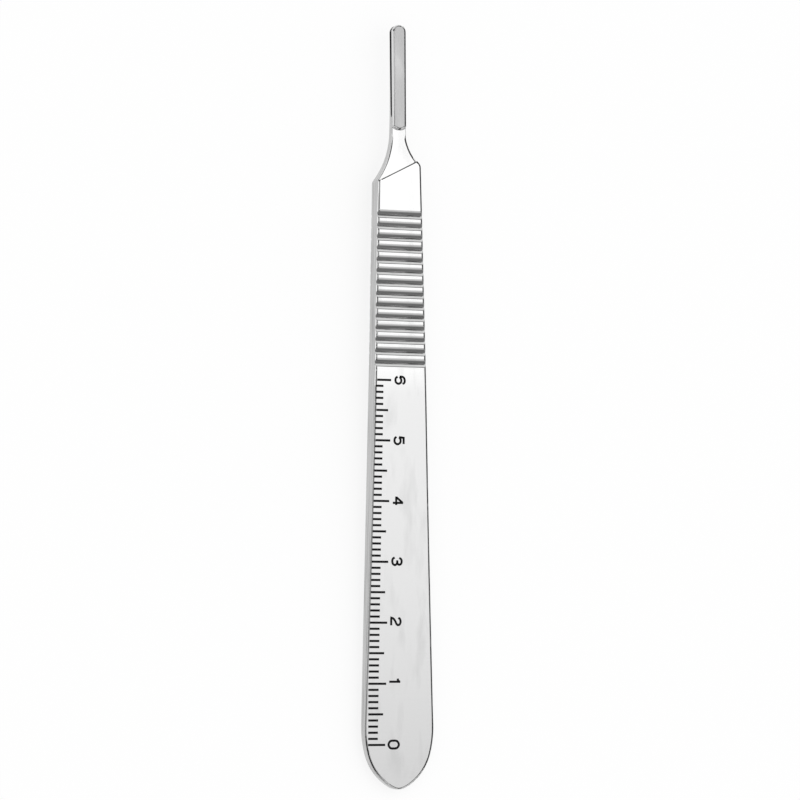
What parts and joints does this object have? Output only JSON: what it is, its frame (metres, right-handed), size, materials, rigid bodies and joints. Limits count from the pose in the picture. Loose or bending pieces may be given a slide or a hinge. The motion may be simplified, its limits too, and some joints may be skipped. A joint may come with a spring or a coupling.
{
  "type": "scalpel handle",
  "caption": "One-piece flat steel scalpel handle with a slotted blade tongue, slanted shoulder, cross-grooved finger grip, centimetre scale and rounded tail.",
  "frame": {"origin": "centre of the handle's length and width, on the flat back that it lies on", "axes": "+Y along the handle from the tail to the tongue, +Z from the back to the front with the blade seat and the scale, +X across it, towards the long edge where the shoulder lies further forward"},
  "size_m": [0.0122, 0.127, 0.0035],
  "materials": {
    "steel": "polished stainless steel with a slight satin, and a black centimetre scale on the front"
  },
  "bodies": {
    "root": {"handle": "steel"}
  },
  "joints": []
}
